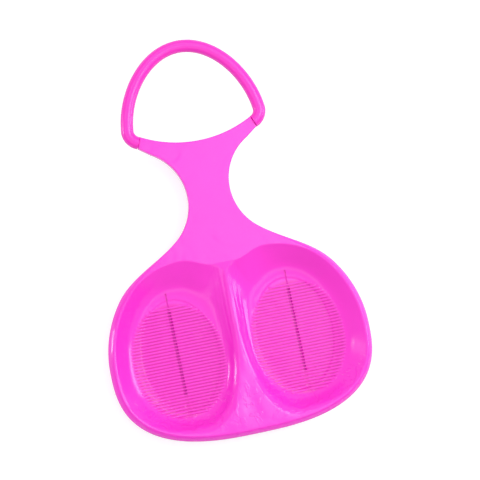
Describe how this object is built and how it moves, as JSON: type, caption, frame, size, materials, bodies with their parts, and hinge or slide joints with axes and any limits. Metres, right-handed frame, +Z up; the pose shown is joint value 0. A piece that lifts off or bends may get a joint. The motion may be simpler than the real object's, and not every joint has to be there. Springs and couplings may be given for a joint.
{
  "type": "snow sled",
  "caption": "Flat moulded snow sled with two ribbed seat dishes, a centre crest, hollow runners underneath, and a neck plate that carries a rounded loop handle.",
  "frame": {"origin": "on the ground under the middle of the whole sled, as it lies on its runners", "axes": "+X across the seat to the sitter's right, +Y from the seat towards the handle, +Z up"},
  "size_m": [0.34, 0.5162, 0.0402],
  "materials": {
    "shell_plastic": "glossy hot pink moulded polyethylene",
    "grip_plastic": "glossy hot pink polyethylene tube"
  },
  "bodies": {
    "root": {"sled_shell": "shell_plastic", "handle_grip": "grip_plastic"}
  },
  "joints": []
}
